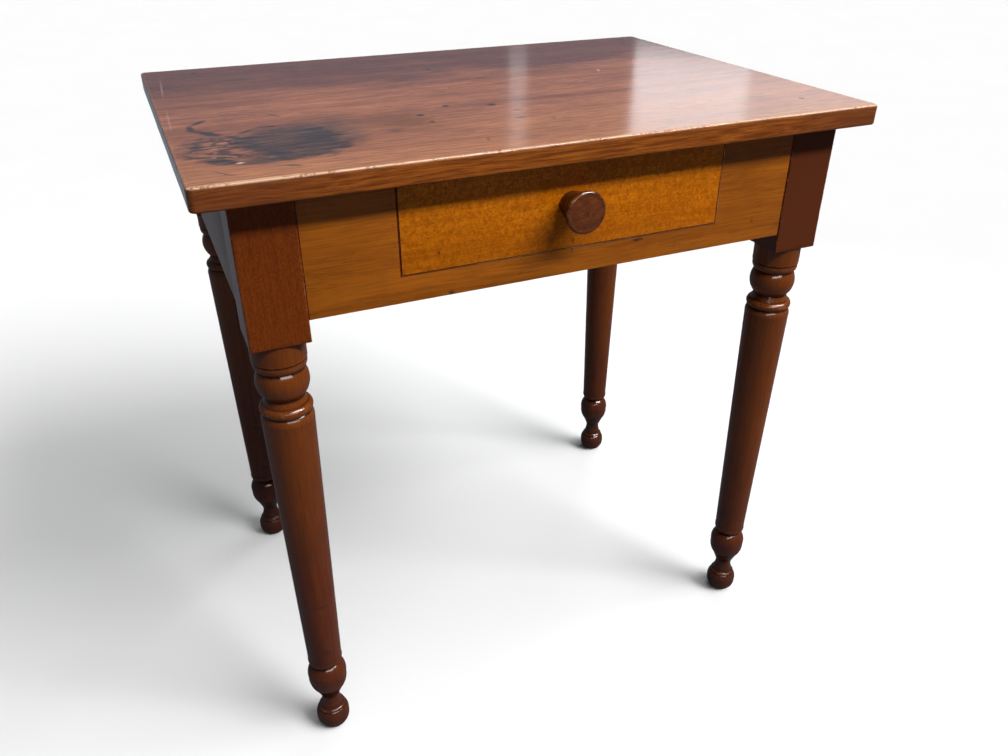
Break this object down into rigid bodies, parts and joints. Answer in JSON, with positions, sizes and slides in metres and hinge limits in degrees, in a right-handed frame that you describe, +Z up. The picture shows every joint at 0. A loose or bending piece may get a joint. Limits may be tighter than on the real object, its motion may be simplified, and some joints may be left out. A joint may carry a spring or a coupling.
{
  "type": "tavern table",
  "caption": "Small wooden tavern table with an overhanging top, turned tapering legs under square posts, and a drawer with a turned knob in the front apron.",
  "frame": {"origin": "on the floor, under the middle of the top", "axes": "+X to the right along the front, +Y from the drawer's face to the back, +Z up"},
  "size_m": [0.736, 0.533, 0.74],
  "materials": {
    "top_wood": "worn satin varnish on dark cherry",
    "leg_wood": "satin varnish on dark cherry, turned",
    "apron_wood": "satin varnish on golden brown wood",
    "drawer_front_wood": "satin varnish on golden flecked wood",
    "inner_wood": "bare planed softwood, darkened with age",
    "knob_wood": "polished dark turned wood",
    "steel": "dull old steel"
  },
  "bodies": {
    "table": {"tabletop": "top_wood", "leg_front_left": "leg_wood", "leg_front_right": "leg_wood", "leg_back_left": "leg_wood", "leg_back_right": "leg_wood", "front_apron": "apron_wood", "back_apron": "apron_wood", "left_apron": "apron_wood", "right_apron": "apron_wood", "top_screws": "steel", "runner_left": "inner_wood", "runner_right": "inner_wood", "guide_left": "inner_wood", "guide_right": "inner_wood", "stop_left": "inner_wood", "stop_right": "inner_wood", "guide_nails": "steel"},
    "drawer": {"drawer_front": "drawer_front_wood", "drawer_side_left": "inner_wood", "drawer_side_right": "inner_wood", "drawer_back": "inner_wood", "drawer_bottom": "inner_wood", "drawer_knob": "knob_wood", "drawer_bottom_nails": "steel"}
  },
  "joints": [
    {"name": "drawer_slide", "type": "slide", "parent": "table", "child": "drawer", "axis": [0, -1, 0], "range_m": [0, 0.3]}
  ]
}
